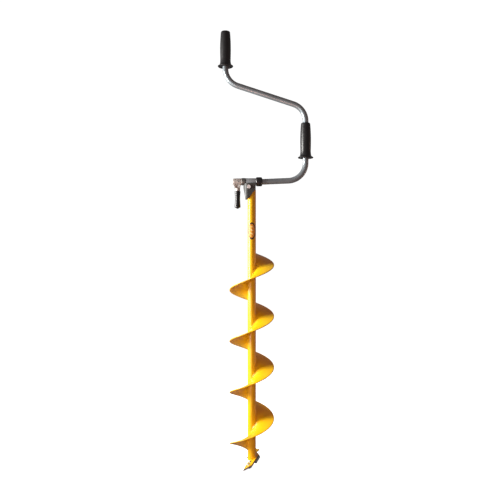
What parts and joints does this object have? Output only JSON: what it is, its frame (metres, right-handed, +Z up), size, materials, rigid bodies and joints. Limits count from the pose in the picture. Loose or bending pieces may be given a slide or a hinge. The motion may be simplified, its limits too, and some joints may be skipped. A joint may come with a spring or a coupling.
{
  "type": "ice fishing auger",
  "caption": "Two-handed ice auger: tube with a right-hand flight and screwed knives, and a bent crank that folds over the shaft and locks with a clamp lever.",
  "frame": {"origin": "on the shaft's axis, at the height of the lowest cutting edges", "axes": "+Z up the shaft, +X towards the middle grip of the raised crank, -Y towards a viewer who sees the clamp lever on the left"},
  "size_m": [0.278, 0.13, 1.2565],
  "materials": {
    "yellow_coat": "satin powder coat",
    "grey_paint": "satin paint",
    "dark_paint": "satin paint",
    "crank_paint": "satin paint",
    "knife_steel": "hardened, ground at the edge",
    "zinc_steel": "zinc plated",
    "chrome": "polished",
    "bare_steel": "turned",
    "thrust_steel": "sintered steel",
    "cast_alloy": "as cast",
    "bush_nylon": "moulded",
    "black_plastic": "moulded, satin",
    "grip_plastic": "moulded, fine grain",
    "label_film": "printed film"
  },
  "bodies": {
    "auger": {"shaft_tube": "yellow_coat", "main_flight": "yellow_coat", "shaft_plug": "yellow_coat", "front_knife_pad": "yellow_coat", "rear_knife_pad": "yellow_coat", "front_knife": "knife_steel", "rear_knife": "knife_steel", "knife_screws": "zinc_steel", "knife_nuts": "zinc_steel", "shaft_label": "label_film", "head_block": "dark_paint", "head_bracket": "dark_paint", "head_bolt": "chrome", "head_washers": "chrome", "head_nut": "chrome", "cross_sleeve": "grey_paint", "left_bush": "bush_nylon", "right_bush": "bush_nylon"},
    "crank": {"crank_tube": "crank_paint", "spindle": "bare_steel", "stop_collar": "black_plastic", "collar_pin": "bare_steel", "thrust_bush": "thrust_steel", "middle_grip_rings": "bare_steel", "top_plug": "bare_steel", "top_washer": "zinc_steel", "top_screw": "zinc_steel"},
    "top_grip": {"top_grip_body": "grip_plastic", "top_grip_cap": "grip_plastic"},
    "middle_grip": {"middle_grip_body": "grip_plastic"},
    "clamp_lever": {"lever_casting": "cast_alloy", "lever_insert": "bare_steel", "lever_pin": "bare_steel", "lever_grip": "black_plastic"}
  },
  "joints": [
    {"name": "crank_fold", "type": "hinge", "parent": "auger", "child": "crank", "pos_m": [0, 0, 0.8204], "axis": [1, 0, 0], "range_deg": [-160, 160]},
    {"name": "top_grip_spin", "type": "hinge", "parent": "crank", "child": "top_grip", "pos_m": [-0.0765, 0, 1.2], "axis": [0, 0, 1], "continuous": true},
    {"name": "middle_grip_spin", "type": "hinge", "parent": "crank", "child": "middle_grip", "pos_m": [0.1565, 0, 0.94], "axis": [0, 0, 1], "continuous": true},
    {"name": "lever_turn", "type": "hinge", "parent": "crank", "child": "clamp_lever", "pos_m": [-0.0413, 0, 0.8204], "axis": [-1, 0, 0], "range_deg": [0, 180]}
  ]
}
